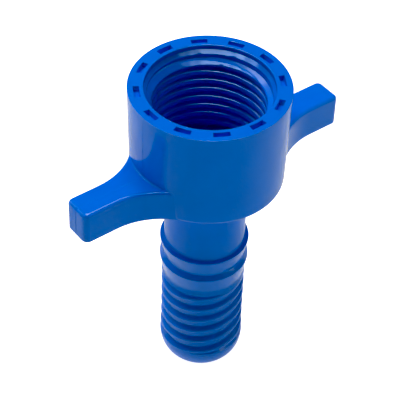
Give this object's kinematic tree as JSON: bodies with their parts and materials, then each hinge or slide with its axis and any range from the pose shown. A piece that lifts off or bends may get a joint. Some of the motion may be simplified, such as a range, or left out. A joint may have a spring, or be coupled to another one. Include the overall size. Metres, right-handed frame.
{
  "type": "drain nipple",
  "caption": "Winged hose adapter: an internally threaded socket with finger wings above a hollow insert that has barbs and a helical grip",
  "frame": {"origin": "Centre of the insert's flat tip, on the axis of the bore, at the bottom of the object", "axes": "+Z along the bore from the insert's tip to the socket's mouth, +X along the finger wings, +Y across them"},
  "size_m": [0.0538, 0.0274, 0.0624],
  "materials": {
    "blue_plastic": "gloss"
  },
  "bodies": {
    "root": {"winged_adapter": "blue_plastic"}
  },
  "joints": []
}
